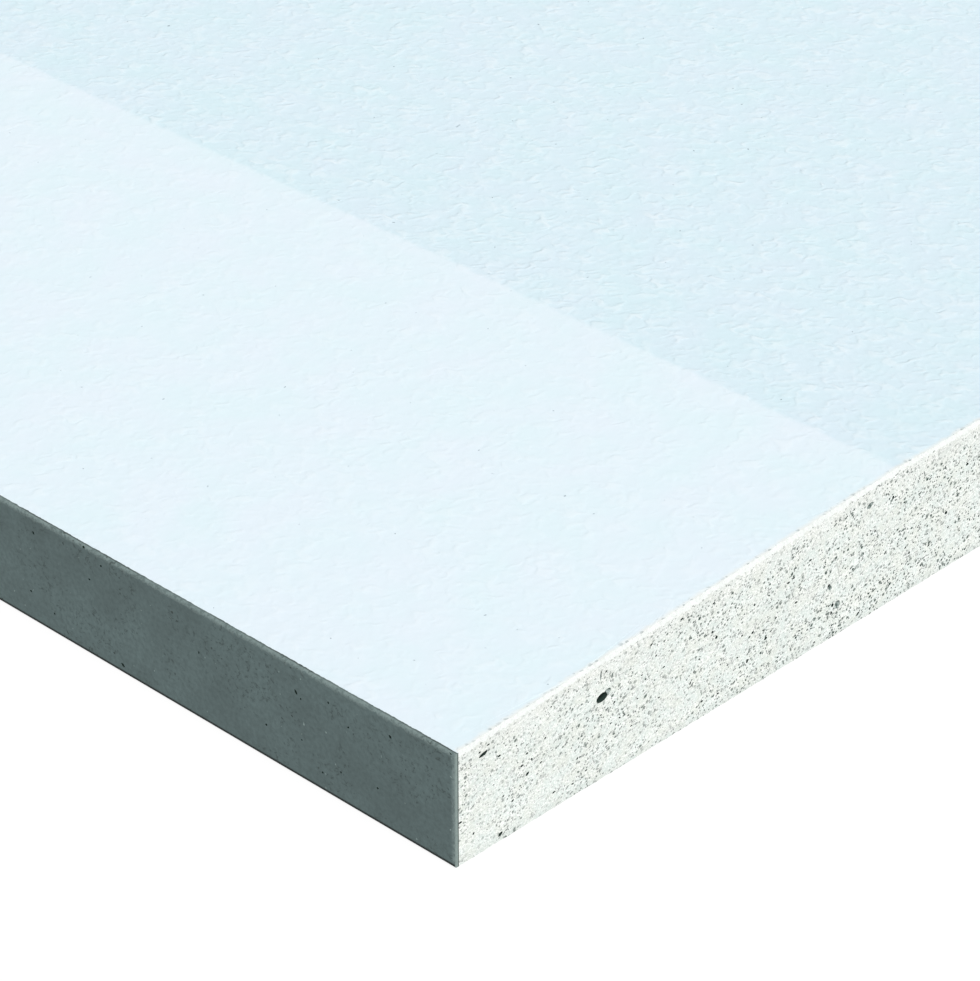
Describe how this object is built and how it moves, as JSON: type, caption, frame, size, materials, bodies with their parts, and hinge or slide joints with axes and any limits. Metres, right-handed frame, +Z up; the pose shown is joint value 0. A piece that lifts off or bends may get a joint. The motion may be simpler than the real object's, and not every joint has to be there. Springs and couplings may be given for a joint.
{
  "type": "wet room board",
  "caption": "Flat gypsum wet room board with a pale blue coated face, tapered grey-green long edges and sawn ends, fixed to a wall frame as a backing for tiles.",
  "frame": {"origin": "centre of the back face, which lies on the floor", "axes": "+X along the board's length, +Y across its width, +Z up through its thickness to the coated face"},
  "size_m": [2.4, 0.9, 0.0125],
  "materials": {
    "gypsum": "sawn aerated gypsum, matt, full of small voids",
    "coated_fleece": "glass fleece with a pale blue coat, matt, finely wrinkled",
    "back_fleece": "bare glass fleece, matt off-white with short fibres",
    "edge_fleece": "grey-green glass fleece, matt, pitted and mottled"
  },
  "bodies": {
    "root": {"gypsum_core": "gypsum", "face_liner": "coated_fleece", "back_liner": "back_fleece", "edge_liner_front": "edge_fleece", "edge_liner_rear": "edge_fleece"}
  },
  "joints": []
}
